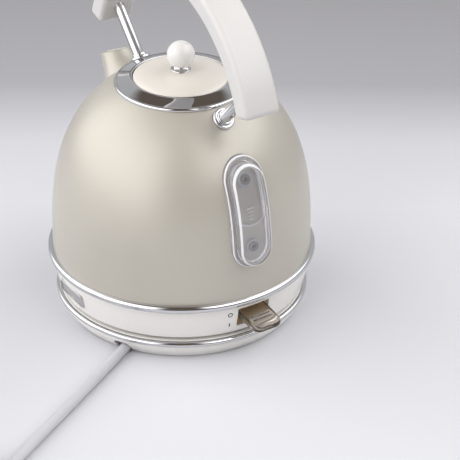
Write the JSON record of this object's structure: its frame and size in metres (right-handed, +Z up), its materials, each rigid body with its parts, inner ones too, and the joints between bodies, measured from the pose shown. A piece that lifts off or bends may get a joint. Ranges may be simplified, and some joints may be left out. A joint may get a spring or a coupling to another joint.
{
  "type": "electric kettle",
  "caption": "Dome-shaped electric kettle with an arched handle on pegs, lift-off lid, side water gauge, tail switch and a round corded power base.",
  "frame": {"origin": "on the kettle's axis, in the plane of the anti-slip ring that the power base stands on", "axes": "+Z up along the kettle's axis, +X towards the water gauge and the switch, -X towards the spout, -Y towards the badge plate"},
  "size_m": [0.2578, 0.3865, 0.2623],
  "materials": {
    "dome_paint": "pearly beige, satin",
    "cream_plastic": "glossy cream",
    "handle_plastic": "satin off-white",
    "chrome": "polished",
    "steel": "satin",
    "clear_plastic": "clear",
    "smoke_plastic": "smoky clear",
    "bracket_plastic": "satin olive brown",
    "inner_plastic": "satin",
    "silicone": "translucent",
    "dark_rubber": "matt",
    "brass": "plain",
    "aluminium": "cast",
    "cord_plastic": "satin pale grey"
  },
  "bodies": {
    "power_base": {"base_shell": "cream_plastic", "base_trim_ring": "chrome", "base_cover": "inner_plastic", "base_foot_ring": "dark_rubber", "base_screws": "steel", "base_connector": "inner_plastic", "connector_contacts": "brass", "cord_gland": "cord_plastic", "mains_cord": "cord_plastic", "mains_cord_coil": "cord_plastic", "mains_cord_tail": "cord_plastic", "cord_tie": "dark_rubber", "plug_body": "cord_plastic", "plug_pins": "steel"},
    "socket": {"socket_ring": "inner_plastic", "socket_pin": "brass"},
    "kettle": {"housing_floor": "inner_plastic", "floor_screws": "steel", "bottom_housing": "cream_plastic", "badge_plate": "chrome", "upper_trim_ring": "chrome", "heating_plate": "steel", "heating_element": "aluminium", "control_unit": "inner_plastic", "steam_tube": "steel", "dome_shell": "dome_paint", "spout": "dome_paint", "lid_collar": "chrome", "gauge_window": "clear_plastic", "gauge_seals": "silicone", "gauge_bushings": "steel", "handle": "handle_plastic", "handle_stud_rear": "chrome", "handle_stud_front": "chrome", "stud_nuts": "steel", "switch_bracket": "bracket_plastic", "switch_pin": "steel"},
    "lid": {"lid_cap": "dome_paint", "lid_skirt": "inner_plastic", "lid_seal": "silicone", "knob_collar": "chrome", "knob": "cream_plastic"},
    "switch": {"switch_lever": "smoke_plastic"},
    "filter": {"filter_frame": "inner_plastic", "filter_mesh": "steel"}
  },
  "joints": [
    {"name": "kettle_lift", "type": "slide", "parent": "power_base", "child": "socket", "axis": [0, 0, 1], "range_m": [0, 0.05]},
    {"name": "kettle_turn", "type": "hinge", "parent": "socket", "child": "kettle", "pos_m": [0, 0, 0.03], "axis": [0, 0, 1], "continuous": true},
    {"name": "lid_lift", "type": "slide", "parent": "kettle", "child": "lid", "axis": [0, 0, 1], "range_m": [0, 0.017]},
    {"name": "switch_press", "type": "hinge", "parent": "kettle", "child": "switch", "pos_m": [0.08002, 0.0021, 0.03375], "axis": [-0.0262, 0.9997, 0], "range_deg": [0, 10]},
    {"name": "filter_pull", "type": "slide", "parent": "kettle", "child": "filter", "axis": [1, 0, 0], "range_m": [0, 0.03]}
  ]
}
